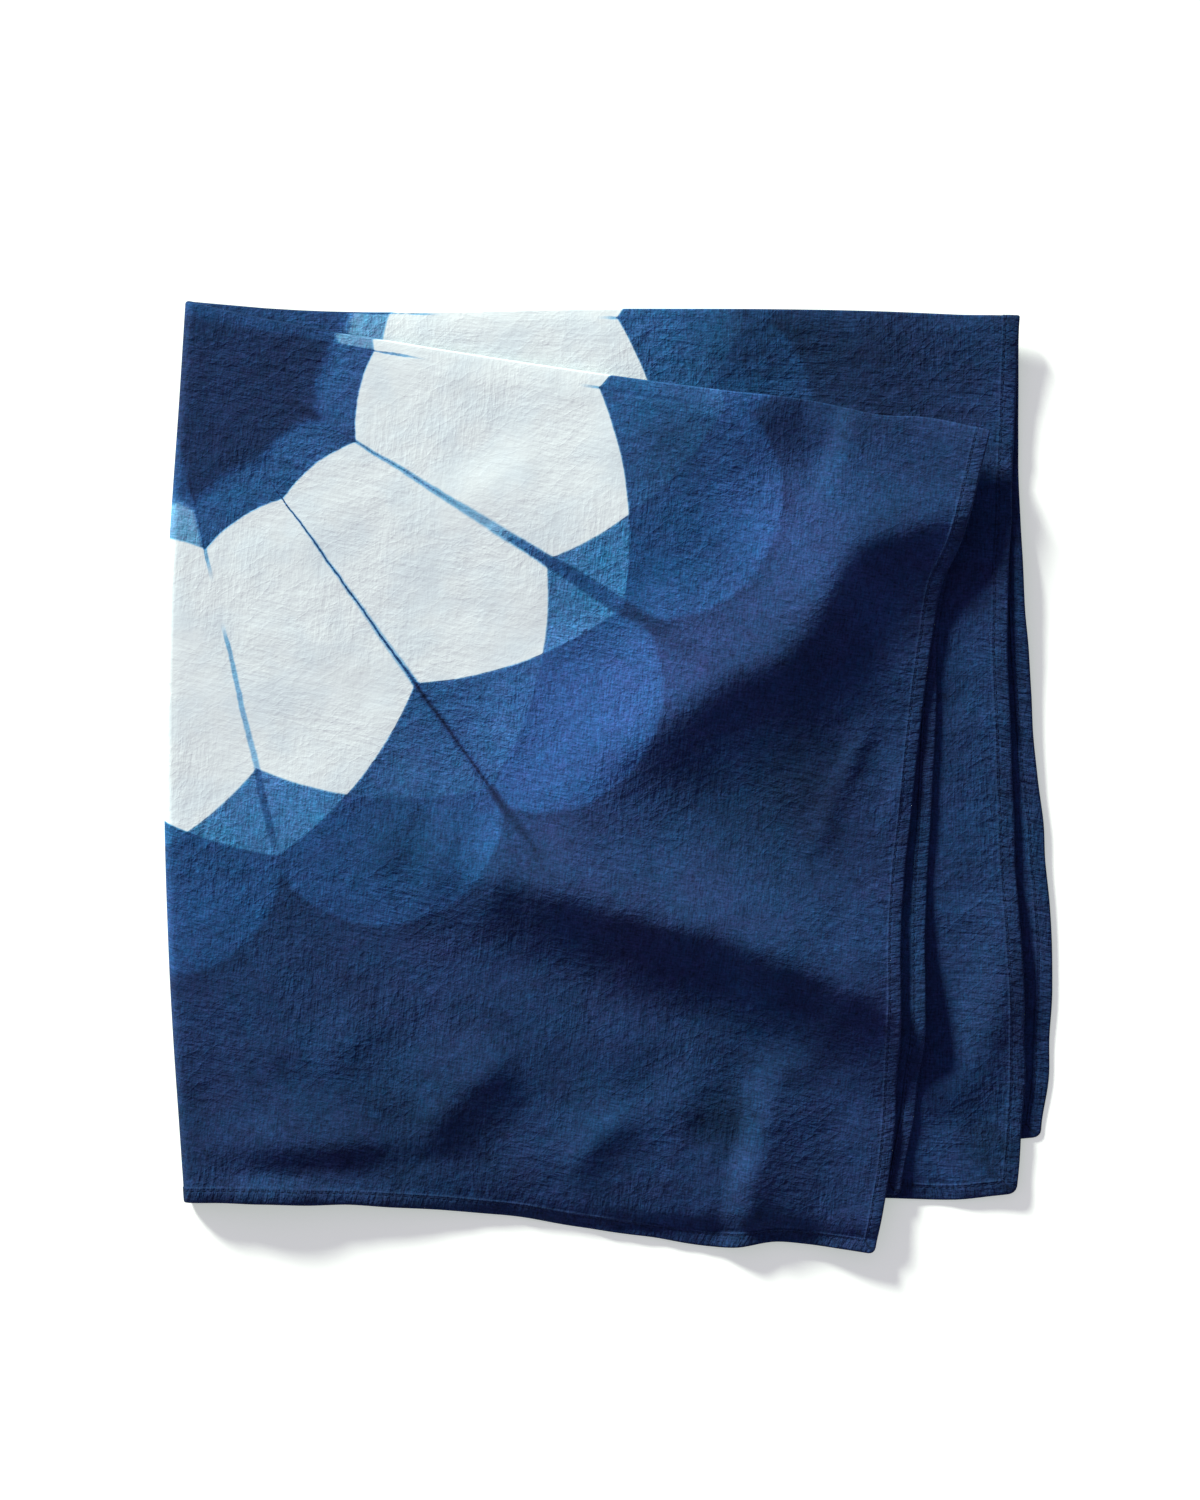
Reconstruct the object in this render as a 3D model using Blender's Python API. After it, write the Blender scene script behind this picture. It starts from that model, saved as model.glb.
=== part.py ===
"""A square cotton bandana, folded twice into quarters and laid down.

The cloth is one closed thin sheet. Seen from above it lies in four layers. Layers 1 and 2 are the front pair,
joined by the front top fold. Layers 3 and 4 are the back pair, joined by the back top fold. The left fold
joins layer 1 to layer 4 and, inside it, layer 2 to layer 3. Layer 1 is on top and layer 4 lies flat below.
Every layer is a patch between its own four edges: the left fold, a top fold, a right hem and a bottom hem.
X is to the right, Y towards the top folds and Z up. The tables below are in millimetres.
"""
from collections import namedtuple

import bpy
import numpy as np

MILLIMETRE = 0.001

# The sheet and how its layers lie
SHEET_THICKNESS = 1.0
HEM_EXTRA = 0.25
HEM_WIDTH = 5.0
HEM_EDGE = 1.0
LAYER_STEP = 2.0
LAYER_WIDTH = 260.0
LAYER_LENGTH = 285.0

# Radii of the folds, in layer steps: the left fold's outer and inner layers, and the top folds
OUTER_TURN = 1.5
INNER_TURN = 0.5
TOP_ROLL = 0.5

# Grid lines over the layers, as (count, crowding), closer at the hem where crowding is under 1, and the
# number of steps round each fold
FRONT_COLUMNS = (32, 0.85)
BACK_COLUMNS = (11, 0.6)
OUTER_ROWS = (35, 1.0)
INNER_ROWS = (19, 1.0)
LEFT_TURNS = 6
TOP_TURNS = 4

# Corners of the layers, as (x, y)
FOLD_CORNER = (-137.2, 155.0)
FRONT_FOLD_END = (123.2, 112.2)
BACK_FOLD_END = (133.0, 149.8)
OUTER_LEFT_END = (-137.5, -137.8)
INNER_LEFT_END = (-139.5, -115.5)
CORNER_1 = (86.5, -154.8)
CORNER_2 = (94.4, -135.4)
CORNER_3 = (132.4, -135.1)
CORNER_4 = (140.8, -117.2)

# Edges between the corners, each a few points that a smooth curve runs through
FRONT_FOLD = [FOLD_CORNER, (-116.7, 150.6), (-61.7, 140.7), (2.1, 130.9), (35.3, 126.3), (69.8, 122.1),
              (88.1, 117.9), (102.4, 117.2), FRONT_FOLD_END]
BACK_FOLD = [FOLD_CORNER, (-98.8, 152.4), (3.1, 153.0), (88.1, 152.1), BACK_FOLD_END]
LEFT_FOLD = [FOLD_CORNER, (-138.9, 128.0), (-143.4, 57.0), (-144.2, 0.0), (-142.5, -60.9)]
RIGHT_HEM_1 = [FRONT_FOLD_END, (117.4, 88.6), (112.5, 72.9), (108.6, 64.8), (105.0, 44.9), (100.1, 6.2),
               (95.1, -46.6), (91.8, -122.8), CORNER_1]
RIGHT_HEM_2 = [FRONT_FOLD_END, (115.5, 88.0), (110.5, 70.0), (107.2, 52.0), (106.3, 18.9), (103.4, -39.1),
               (100.1, -103.2), CORNER_2]
RIGHT_HEM_3 = [BACK_FOLD_END, (131.1, 98.0), (129.6, 60.6), (131.7, -13.3), (135.0, -103.2), CORNER_3]
RIGHT_HEM_4 = [BACK_FOLD_END, (133.3, 100.0), (137.6, 18.9), (144.2, -60.0), (143.4, -90.5), CORNER_4]
BOTTOM_HEM_1 = [OUTER_LEFT_END, (-88.1, -138.5), (-35.3, -142.0), (10.3, -148.8), (39.9, -152.2),
                (53.9, -150.8), (65.6, -151.7), CORNER_1]
BOTTOM_HEM_2 = [INNER_LEFT_END, CORNER_2]
BOTTOM_HEM_3 = [INNER_LEFT_END, (92.0, -136.4), (113.1, -136.8), CORNER_3]
BOTTOM_HEM_4 = [OUTER_LEFT_END, CORNER_4]

Layer = namedtuple("Layer", "left top right bottom")
LAYERS = [
    Layer(LEFT_FOLD + [OUTER_LEFT_END], FRONT_FOLD, RIGHT_HEM_1, BOTTOM_HEM_1),
    Layer(LEFT_FOLD + [INNER_LEFT_END], FRONT_FOLD, RIGHT_HEM_2, BOTTOM_HEM_2),
    Layer(LEFT_FOLD + [INNER_LEFT_END], BACK_FOLD, RIGHT_HEM_3, BOTTOM_HEM_3),
    Layer(LEFT_FOLD + [OUTER_LEFT_END], BACK_FOLD, RIGHT_HEM_4, BOTTOM_HEM_4),
]

# Ridges and troughs: the crest's points as (x, y, height), the width of the flanks that lie to the left and
# to the right of someone who walks from the first point to the last, and how softly the crest is rounded.
# A trough has a negative height.
Ridge = namedtuple("Ridge", "crest left right rounding", defaults=(6.0,))
FRONT_RIDGES = [
    Ridge([(-28, -11, 0), (-12, -4, 3.5), (4, 6, 6), (20, 19, 8), (36, 31, 9), (56, 41, 9.5), (66, 53, 10),
           (74, 68, 10), (80, 75.5, 10), (95, 81, 9), (120, 87, 6.5)], left=42, right=34),
    Ridge([(-84, -24, 0), (-66, -26, 1.8), (-50, -30, 5), (-32, -35, 9.5), (-10, -41, 12.5), (10, -47, 13),
           (33, -53, 13), (56, -61, 12.5), (75, -70, 11), (95, -80, 7)], left=44, right=24),
    Ridge([(57, -92, 0), (52, -112, 3.5), (48, -131, 4), (45, -150, 3)], left=24, right=12, rounding=5),
    Ridge([(42, -94, 0), (37, -114, -2.6), (32, -131, -2.8), (28, -146, -2)], left=9, right=14, rounding=5),
    Ridge([(-28, -86, 0), (-40, -96, 4), (-54, -108, 4.2), (-66, -122, 0)], left=16, right=28, rounding=4),
    Ridge([(-16, -132, 0), (-8, -122, 2.8), (2, -113, 3), (14, -106, 0)], left=18, right=13, rounding=4),
    Ridge([(-138, -128, 0), (-110, -129, -2.6), (-60, -129, -2.4), (-30, -131, -1), (0, -137, 0)],
          left=9, right=11, rounding=4),
    Ridge([(-134, -118, 0), (-90, -117, 2), (-45, -118, 0)], left=13, right=12, rounding=4),
    Ridge([(72, 124, -6.5), (69, 108, -4.5), (63, 86, 0)], left=9, right=22, rounding=4),
    Ridge([(-5, 131, 0), (50, 124, 3), (100, 116, 4), (124, 112, 5)], left=36, right=44),
    Ridge([(52, -120, 0), (72, -140, 1.2), (90, -158, 2.5)], left=30, right=34),
    Ridge([(-142, -140, 1), (-130, -140, 2.8), (-112, -140, 4.5), (-92, -140, 2.6), (-57, -141, 0)],
          left=40, right=20),
]
LAYER_3_RIDGES = [
    Ridge([(129, -38, 0), (128, -55, 2.5), (125, -80, 3.5), (114, -100, 2.5), (104, -110, 0)],
          left=16, right=15, rounding=4),
    Ridge([(106, 15, 0), (118, 18, 1.1), (134, 19, 0.8)], left=8, right=8, rounding=3),
    Ridge([(104, -44, 0), (118, -45, 1), (134, -42, 0.8)], left=8, right=8, rounding=3),
    Ridge([(110, -110, 0), (121, -124, 0.5), (134, -138, 0.8)], left=24, right=24),
    Ridge([(92, -138, -0.7), (108, -139, -1.1), (120, -139, -0.8), (134, -139, 0)], left=14, right=14),
]
BACK_RIDGES = [
    Ridge([(134, 155, 3), (134, 100, 2), (135, 69, 4.4), (138, 19, 2), (142, -10, 1.4), (145, -60, 0.9),
           (142, -120, 0.3)], left=5, right=30),
    Ridge([(60, 154, 0), (134, 152, 2)], left=5, right=26),
]

# The cloth puffs up a little away from its edges, the front pair settles onto the back pair away from the
# left fold, and the hem that runs past the other layers droops towards the surface
FRONT_PUFF = 1.5
LAYER_3_PUFF = 0.5
PUFF_RUN = 55.0
FRONT_SETTLE = 0.4
INNER_SHARE = 0.92
SOFT_FLOOR = 0.6
DROOPS = [
    Ridge([(-80, -143, 0), (-35, -146, -4), (15, -153, -4.3), (45, -156, -4.2), (64, -157, -4.2),
           (80, -158, -1.4)], left=17, right=17, rounding=4),
    Ridge([(-141, -139, -1.6), (-100, -140, -1.6), (-40, -144, -1)], left=5, right=9, rounding=2),
]

CLOTH_COLOUR = (0.028, 0.062, 0.165, 1.0)
CLOTH_ROUGHNESS = 0.85


def smooth_through(places, values, at):
    """Rows of values between given ones, on cubics that slope at their ends as the neighbours lie."""
    slopes = np.gradient(values, places, axis=0)
    stretch = np.clip(np.searchsorted(places, at, side="right") - 1, 0, len(places) - 2)
    run = (places[stretch + 1] - places[stretch])[..., None]
    q = np.clip((at - places[stretch])[..., None] / run, 0, 1)
    rise = q * q * (3 - 2 * q)
    leaving = slopes[stretch] * run * q * (1 - q) ** 2
    arriving = slopes[stretch + 1] * run * q * q * (1 - q)
    return values[stretch] * (1 - rise) + values[stretch + 1] * rise + leaving - arriving


def eased(places, values, at):
    """Values between given ones, each reached and left on the level."""
    q = np.interp(at, places, np.arange(len(places)))
    lower = np.clip(q.astype(int), 0, len(places) - 2)
    q = q - lower
    return values[lower] + (values[lower + 1] - values[lower]) * q * q * (3 - 2 * q)


def along(points, share):
    """Points at the given shares, 0 to 1, of the length of a smooth curve through the given points."""
    knots = np.array(points, dtype=float)
    lengths = np.linalg.norm(np.diff(knots, axis=0), axis=1)
    places = np.concatenate(([0.0], np.cumsum(lengths))) / lengths.sum()
    return smooth_through(places, knots, share)


def patch(layer, s, t):
    """Plan of a layer: s runs from the left fold to the right hem, and t from the top fold to the bottom hem.

    It is the mean of the left and right edges plus that of the top and bottom edges, each by its share, less
    that of the four corners.
    """
    top_left, top_right = np.array(layer.top[0]), np.array(layer.top[-1])
    bottom_left, bottom_right = np.array(layer.bottom[0]), np.array(layer.bottom[-1])
    left, right = along(layer.left, t), along(layer.right, t)
    top, bottom = along(layer.top, s), along(layer.bottom, s)
    s = s[..., None]
    t = t[..., None]
    corners = (1 - t) * ((1 - s) * top_left + s * top_right) + t * ((1 - s) * bottom_left + s * bottom_right)
    return (1 - s) * left + s * right + (1 - t) * top + t * bottom - corners


def ridge_height(ridge, x, y):
    """Height of one ridge: it falls off on both sides of the crest, ever less steeply, over each flank."""
    crest = np.array(ridge.crest, dtype=float)
    start = crest[0, :2]
    chord = crest[-1, :2] - start
    ahead = chord / np.linalg.norm(chord)
    aside = np.array((-ahead[1], ahead[0]))
    places = (crest[:, :2] - start) @ ahead
    offsets = ((crest[:, :2] - start) @ aside)[:, None]
    at = (x - start[0]) * ahead[0] + (y - start[1]) * ahead[1]
    off = (x - start[0]) * aside[0] + (y - start[1]) * aside[1]
    distance = off - smooth_through(places, offsets, at)[..., 0]
    flank = np.where(distance > 0, ridge.left, ridge.right)
    rounded = np.hypot(distance, ridge.rounding) - ridge.rounding
    across = np.clip(1 - rounded / flank, 0, 1) ** 2
    return across * eased(places, crest[:, 2], at)


def total_height(ridges, x, y):
    """Sum of the heights of several ridges."""
    return sum(ridge_height(ridge, x, y) for ridge in ridges)


def ease(value):
    """A smooth step from 0 at 0 to 1 at 1."""
    q = np.clip(value, 0, 1)
    return q * q * (3 - 2 * q)


def relief(x, y, s, t):
    """How far each of the four layers lies above its place in a flat stack, top layer first."""
    middle = ease(s * LAYER_WIDTH / PUFF_RUN) * ease((1 - s) * LAYER_WIDTH / PUFF_RUN)
    middle = middle * ease(t * LAYER_LENGTH / PUFF_RUN) * ease((1 - t) * LAYER_LENGTH / PUFF_RUN)
    settled = FRONT_SETTLE * ease(s * LAYER_WIDTH / PUFF_RUN)
    raised = FRONT_PUFF * middle + total_height(FRONT_RIDGES, x, y)
    raised = 0.5 * (raised + np.sqrt(raised ** 2 + SOFT_FLOOR ** 2))
    lowest = total_height(BACK_RIDGES, x, y)
    return [
        raised - settled + total_height(DROOPS, x, y),
        raised * INNER_SHARE - settled,
        lowest + LAYER_3_PUFF * middle + total_height(LAYER_3_RIDGES, x, y),
        lowest,
    ]


def layer_lines(fold_radius, length, count, crowding):
    """Grid lines from a fold to a hem, as shares of the length."""
    start = fold_radius / length
    hem = 1 - HEM_WIDTH / length
    hem_foot = hem - HEM_EDGE / length
    spread = np.linspace(0, 1, count) ** crowding
    return np.concatenate((start + (hem_foot - start) * spread, [hem, 1.0]))


def stations(fold_radius, length, first, turn_count, last):
    """Grid lines from one hem, round a fold, to the other hem.

    Gives for each line its share of the layer's side, counted from the fold, its angle round the fold, and
    whether it lies on a hem.
    """
    first = layer_lines(fold_radius, length, *first)[::-1]
    last = layer_lines(fold_radius, length, *last)
    start = last[0]
    hem = last[-2]
    turn = np.linspace(0, np.pi, turn_count + 1)[1:-1]
    share = np.concatenate((first, np.full(turn.size, start), last))
    angle = np.concatenate((np.zeros(first.size), turn, np.full(last.size, np.pi)))
    return share, angle, share >= hem


def middle_surface(across, turn, down, roll):
    """Middle surface of the cloth, as rows and columns of points.

    The left fold turns by the angle turn, from the front pair to the back pair, with the outer layers round a
    larger radius than the inner ones. The top fold turns by the angle roll, from the outer layer to the inner
    one. In a fold the plan, the relief and the level pass from one layer to the next by the cosine of its
    angle.
    """
    turn, roll = np.meshgrid(turn, roll)
    across, down = np.meshgrid(across, down)
    front = 0.5 + 0.5 * np.cos(turn)
    outer = 0.5 + 0.5 * np.cos(roll)
    radius = INNER_TURN + (OUTER_TURN - INNER_TURN) * outer
    s = across - radius * np.sin(turn) * LAYER_STEP / LAYER_WIDTH
    t = down - TOP_ROLL * np.sin(roll) * LAYER_STEP / LAYER_LENGTH
    weights = [front * outer, front * (1 - outer), (1 - front) * (1 - outer), (1 - front) * outer]
    plan = sum(weight[..., None] * patch(layer, s, t) for weight, layer in zip(weights, LAYERS))
    x, y = plan[..., 0], plan[..., 1]
    lift = sum(weight * height for weight, height in zip(weights, relief(x, y, s, t)))
    level = OUTER_TURN + radius * np.cos(turn)
    z = 0.5 * SHEET_THICKNESS + LAYER_STEP * level + lift
    return np.stack((x, y, z), axis=-1)


def cloth_points():
    """The right side and the wrong side of the cloth, with the hems' extra thickness on the wrong side."""
    across, turn, side_hem = stations(OUTER_TURN * LAYER_STEP, LAYER_WIDTH, FRONT_COLUMNS, LEFT_TURNS,
                                      BACK_COLUMNS)
    down, roll, end_hem = stations(TOP_ROLL * LAYER_STEP, LAYER_LENGTH, OUTER_ROWS, TOP_TURNS, INNER_ROWS)
    middle = middle_surface(across, turn, down, roll)
    normals = np.cross(np.gradient(middle, axis=0), np.gradient(middle, axis=1))
    normals /= np.linalg.norm(normals, axis=-1, keepdims=True)
    hem = end_hem[:, None] | side_hem[None, :]
    right_side = middle + normals * 0.5 * SHEET_THICKNESS
    wrong_side = middle - normals * (0.5 * SHEET_THICKNESS + HEM_EXTRA * hem)[..., None]
    return right_side, wrong_side


def closed_sheet(name, right_side, wrong_side):
    """A closed mesh from the two sides of a sheet, with a rim of faces all round its edge."""
    rows, columns = right_side.shape[:2]
    index = np.arange(rows * columns).reshape(rows, columns)
    other = rows * columns
    faces = []
    for i in range(rows - 1):
        for j in range(columns - 1):
            right_low, right_high = int(index[i, j]), int(index[i + 1, j])
            left_low, left_high = int(index[i, j + 1]), int(index[i + 1, j + 1])
            for face in ((right_low, right_high, left_low), (right_high, left_high, left_low)):
                faces.append(face)
                faces.append(tuple(corner + other for corner in reversed(face)))
    rim = [*index[0, :], *index[1:, -1], *index[-1, -2::-1], *index[-2:0:-1, 0]]
    for here, ahead in zip(rim, rim[1:] + rim[:1]):
        here, ahead = int(here), int(ahead)
        faces.append((here, ahead, ahead + other, here + other))
    points = np.concatenate((right_side.reshape(-1, 3), wrong_side.reshape(-1, 3))) * MILLIMETRE
    mesh = bpy.data.meshes.new(name)
    mesh.from_pydata(points.tolist(), [], faces)
    mesh.validate()
    mesh.shade_smooth()
    return mesh


def cloth_material():
    """Indigo-dyed cotton, in its main colour."""
    material = bpy.data.materials.new("indigo_cotton")
    material.use_nodes = True
    shader = material.node_tree.nodes["Principled BSDF"]
    shader.inputs["Base Color"].default_value = CLOTH_COLOUR
    shader.inputs["Roughness"].default_value = CLOTH_ROUGHNESS
    shader.inputs["Metallic"].default_value = 0.0
    return material


def build_bandana():
    """Put the folded cloth into the scene as one object."""
    for leftover in list(bpy.data.objects):
        bpy.data.objects.remove(leftover)
    mesh = closed_sheet("bandana_cloth", *cloth_points())
    mesh.materials.append(cloth_material())
    cloth = bpy.data.objects.new("bandana_cloth", mesh)
    bpy.context.scene.collection.objects.link(cloth)


build_bandana()
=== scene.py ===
import math
from collections import namedtuple

import bpy
import numpy as np
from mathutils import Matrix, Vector


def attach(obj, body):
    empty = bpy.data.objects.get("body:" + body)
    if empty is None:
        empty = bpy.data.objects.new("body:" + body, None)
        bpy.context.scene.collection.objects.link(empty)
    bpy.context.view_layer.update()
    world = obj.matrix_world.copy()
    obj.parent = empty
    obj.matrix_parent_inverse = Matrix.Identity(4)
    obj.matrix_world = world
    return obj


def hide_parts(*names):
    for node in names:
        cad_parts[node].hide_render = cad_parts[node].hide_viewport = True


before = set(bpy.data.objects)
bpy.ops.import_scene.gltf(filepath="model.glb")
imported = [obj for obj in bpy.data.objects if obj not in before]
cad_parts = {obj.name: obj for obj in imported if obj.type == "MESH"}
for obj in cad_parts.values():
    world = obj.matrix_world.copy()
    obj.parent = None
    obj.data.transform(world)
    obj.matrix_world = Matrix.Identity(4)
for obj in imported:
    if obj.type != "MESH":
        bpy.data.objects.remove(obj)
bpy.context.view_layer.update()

# In metres: a millimetre
MILLIMETRE = 0.001

# The cloth and how its layers lie
CLOTH_THICKNESS = 0.45
HEM_THICKNESS = 1.0
HEM_SHOWS = 0.25
HEM_WIDTH = 5.0
HEM_STEP = 0.5
HEM_STEP_START = 0.2
STITCH_INSET = 4.0
STITCH_DENT = 0.12
DENT_REACH = 0.7
EDGE_ROUNDING = 0.6
EDGE_LEAST = 0.02
LAYER_STEP = 2.0
LAYER_WIDTH = 260.0
LAYER_LENGTH = 285.0
OUTER_TURN = 1.5
INNER_TURN = 0.5
TOP_ROLL = 0.5
TOP_BULGE = 0.4
END_BULGE = 0.8

# Grid lines: counts over the open cloth as (count, crowding), steps round the folds, and the hem's own lines
# as distances in from the edge
FRONT_COLUMNS = (126, 0.9)
BACK_COLUMNS = (62, 0.6)
OUTER_ROWS = (122, 1.0)
INNER_ROWS = (66, 1.0)
LEFT_TURNS = 14
TOP_TURNS = 10
HEM_LINES = (6.2, 5.5, 5.1, 4.8, 4.4, 4.0, 3.5, 2.4, 1.3, 0.6, 0.2, 0.0)

# Corners of the layers, as (x, y)
FOLD_CORNER = (-137.2, 155.0)
FRONT_FOLD_END = (123.2, 112.2)
BACK_FOLD_END = (133.0, 149.8)
OUTER_LEFT_END = (-137.5, -137.8)
INNER_LEFT_END = (-139.5, -115.5)
CORNER_1 = (86.5, -154.8)
CORNER_2 = (94.4, -135.4)
CORNER_3 = (132.4, -135.1)
CORNER_4 = (140.8, -117.2)

# Edges between the corners, each a few points that a smooth curve runs through
FRONT_FOLD = [FOLD_CORNER, (-116.7, 150.6), (-61.7, 140.7), (2.1, 130.9), (35.3, 126.3), (69.8, 122.1),
              (88.1, 117.9), (102.4, 117.2), FRONT_FOLD_END]
BACK_FOLD = [FOLD_CORNER, (-98.8, 152.4), (3.1, 153.0), (88.1, 152.1), BACK_FOLD_END]
LEFT_FOLD = [FOLD_CORNER, (-138.9, 128.0), (-143.4, 57.0), (-144.2, 0.0), (-142.5, -60.9)]
RIGHT_HEM_1 = [FRONT_FOLD_END, (117.4, 88.6), (112.5, 72.9), (108.6, 64.8), (105.0, 44.9), (100.1, 6.2),
               (95.1, -46.6), (91.8, -122.8), CORNER_1]
RIGHT_HEM_2 = [FRONT_FOLD_END, (115.5, 88.0), (110.5, 70.0), (107.2, 52.0), (106.3, 18.9), (103.4, -39.1),
               (100.1, -103.2), CORNER_2]
RIGHT_HEM_3 = [BACK_FOLD_END, (131.1, 98.0), (129.6, 60.6), (131.7, -13.3), (135.0, -103.2), CORNER_3]
RIGHT_HEM_4 = [BACK_FOLD_END, (133.3, 100.0), (137.6, 18.9), (144.2, -60.0), (143.4, -90.5), CORNER_4]
BOTTOM_HEM_1 = [OUTER_LEFT_END, (-88.1, -138.5), (-35.3, -142.0), (10.3, -148.8), (39.9, -152.2),
                (53.9, -150.8), (65.6, -151.7), CORNER_1]
BOTTOM_HEM_2 = [INNER_LEFT_END, CORNER_2]
BOTTOM_HEM_3 = [INNER_LEFT_END, (92.0, -136.4), (113.1, -136.8), CORNER_3]
BOTTOM_HEM_4 = [OUTER_LEFT_END, CORNER_4]

Layer = namedtuple("Layer", "left top right bottom")
LAYERS = [
    Layer(LEFT_FOLD + [OUTER_LEFT_END], FRONT_FOLD, RIGHT_HEM_1, BOTTOM_HEM_1),
    Layer(LEFT_FOLD + [INNER_LEFT_END], FRONT_FOLD, RIGHT_HEM_2, BOTTOM_HEM_2),
    Layer(LEFT_FOLD + [INNER_LEFT_END], BACK_FOLD, RIGHT_HEM_3, BOTTOM_HEM_3),
    Layer(LEFT_FOLD + [OUTER_LEFT_END], BACK_FOLD, RIGHT_HEM_4, BOTTOM_HEM_4),
]

# Ridges and troughs: the crest's points as (x, y, height), the width of the flanks to the left and to the
# right of someone who walks from the first point to the last, and how softly the crest is rounded. A trough
# has a negative height.
Ridge = namedtuple("Ridge", "crest left right rounding", defaults=(5.0,))
FRONT_RIDGES = [
    Ridge([(-28, -11, 0), (-12, -4, 3.5), (4, 6, 6), (20, 19, 8), (36, 31, 9), (56, 41, 9.5), (66, 53, 10),
           (74, 68, 10), (80, 75.5, 10), (95, 81, 9), (120, 87, 6.5)], left=42, right=34, rounding=5),
    Ridge([(-84, -20, 0), (-66, -23, 1.8), (-50, -27, 5), (-32, -32, 9.5), (-12, -37, 12.5), (8, -43, 13.5),
           (31, -49, 14), (54, -57, 13.5), (74, -66, 12), (95, -77, 8)], left=42, right=26, rounding=5),
    Ridge([(60, -84, 0), (56, -97, 1.2), (51, -113, 3.9), (47, -131, 4.6), (44, -150, 3)],
          left=24, right=10, rounding=3),
    Ridge([(46, -86, 0), (42, -100, -1.4), (38, -115, -3.6), (33, -131, -4), (29, -146, -2.5)],
          left=8, right=14, rounding=3),
    Ridge([(-28, -86, 0), (-40, -96, 4), (-54, -108, 4.2), (-66, -122, 0)], left=16, right=28, rounding=3),
    Ridge([(-16, -132, 0), (-8, -122, 2.8), (2, -113, 3), (14, -106, 0)], left=18, right=13, rounding=2),
    Ridge([(-138, -128, 0), (-110, -129, -2.6), (-60, -129, -2.4), (-30, -131, -1), (0, -137, 0)],
          left=9, right=11, rounding=2),
    Ridge([(-134, -118, 0), (-90, -117, 2), (-45, -118, 0)], left=13, right=12, rounding=2),
    Ridge([(72, 124, -6.5), (69, 108, -4.5), (63, 86, 0)], left=8, right=22, rounding=2),
    Ridge([(-5, 131, 0), (50, 124, 3), (100, 116, 4), (124, 112, 5)], left=36, right=44),
    Ridge([(52, -120, 0), (72, -140, 1.2), (90, -158, 2.5)], left=30, right=34),
    Ridge([(-142, -140, 1), (-130, -140, 2.8), (-112, -140, 4.5), (-92, -140, 2.6), (-57, -141, 0)],
          left=40, right=20),
    Ridge([(70, -14, 0), (80, 8, 1.6), (88, 24, 0)], left=6, right=6, rounding=0.8),
    Ridge([(88, -26, 0), (94, -4, 1.3), (95, 14, 0)], left=5, right=5, rounding=0.8),
    Ridge([(62, -30, 0), (70, -16, 1.2), (74, 0, 0)], left=6, right=6, rounding=1),
]
LAYER_3_RIDGES = [
    Ridge([(129, -38, 0), (128, -55, 2.5), (125, -80, 3.5), (114, -100, 2.5), (104, -110, 0)],
          left=16, right=15, rounding=3),
    Ridge([(106, 15, 0), (118, 18, 1.1), (134, 19, 0.8)], left=7, right=6, rounding=0.8),
    Ridge([(104, -44, 0), (118, -45, 1), (134, -42, 0.8)], left=7, right=7, rounding=0.8),
    Ridge([(110, -110, 0), (121, -124, 0.5), (134, -138, 0.8)], left=24, right=24),
    Ridge([(92, -138, -0.7), (108, -139, -1.1), (120, -139, -0.8), (134, -139, 0)], left=14, right=14),
]
BACK_RIDGES = [
    Ridge([(134, 155, 3), (134, 100, 2), (135, 69, 4.4), (138, 19, 2), (142, -10, 1.4), (145, -60, 0.9),
           (142, -120, 0.3)], left=5, right=30),
    Ridge([(60, 154, 0), (134, 152, 2)], left=5, right=26),
]
DROOPS = [
    Ridge([(-80, -143, 0), (-35, -146, -4), (15, -153, -4.3), (45, -156, -4.2), (64, -157, -4.2),
           (80, -158, -1.4)], left=17, right=17, rounding=4),
    Ridge([(-141, -139.5, -2.8), (-100, -140.5, -2.6), (-40, -144, -1.5)], left=6, right=9, rounding=1),
]
# How the layers lie on one another: the puff of the stack, which settles away from the left fold, how closely
# the covered layer follows the top one, and how far the top folds are pressed flat, less so by their ends
FRONT_PUFF = 1.5
LAYER_3_PUFF = 0.5
PUFF_RUN = 55.0
FRONT_SETTLE = 0.9
INNER_SHARE = 0.92
INNER_SETTLE = 0.8
SOFT_FLOOR = 0.6
FOLD_PRESS = 0.62
FOLD_PRESS_RUN = 8.0
END_PRESS = 0.1
END_PRESS_RUN = 14.0

# The crinkle that washing leaves, coarse to fine: the turn of its cells in degrees, their length and breadth,
# and its height on the smooth upper part and on the more crumpled lower part of the cloth
Crinkle = namedtuple("Crinkle", "turn long broad smooth crumpled")
CRINKLES = [
    Crinkle(20, 46.0, 24.0, 0.30, 0.45),
    Crinkle(35, 24.0, 11.0, 0.12, 0.42),
    Crinkle(-15, 15.0, 8.0, 0.07, 0.22),
    Crinkle(80, 12.0, 5.5, 0.05, 0.12),
    Crinkle(5, 9.0, 4.5, 0.03, 0.10),
]
CRUMPLED_FROM = -25.0
CRUMPLED_RUN = 60.0
# The share of the crinkle at the top folds, the run over which it grows to the whole, and its share on the
# covered layer
CALM_SHARE = 0.25
CALM_RUN = 16.0
INNER_CRINKLE = 0.4
CELL_HEIGHT = 0.6
# The hems' wander in plan and their pucker from the stitching
HEM_WANDER = 0.35
HEM_WANDER_CELL = 14.0
CORNER_ROUNDING = 2.4
HEM_PUCKER = 0.26
HEM_PUCKER_CELLS = (5.5, 16.0)
HEM_PUCKER_REACH = 14.0
# Seeds of the unevenness of the layers, top layer first, and of the hems' wander
LAYER_SEEDS = (11, 21, 31)
WANDER_SEEDS = (51, 52)

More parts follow.
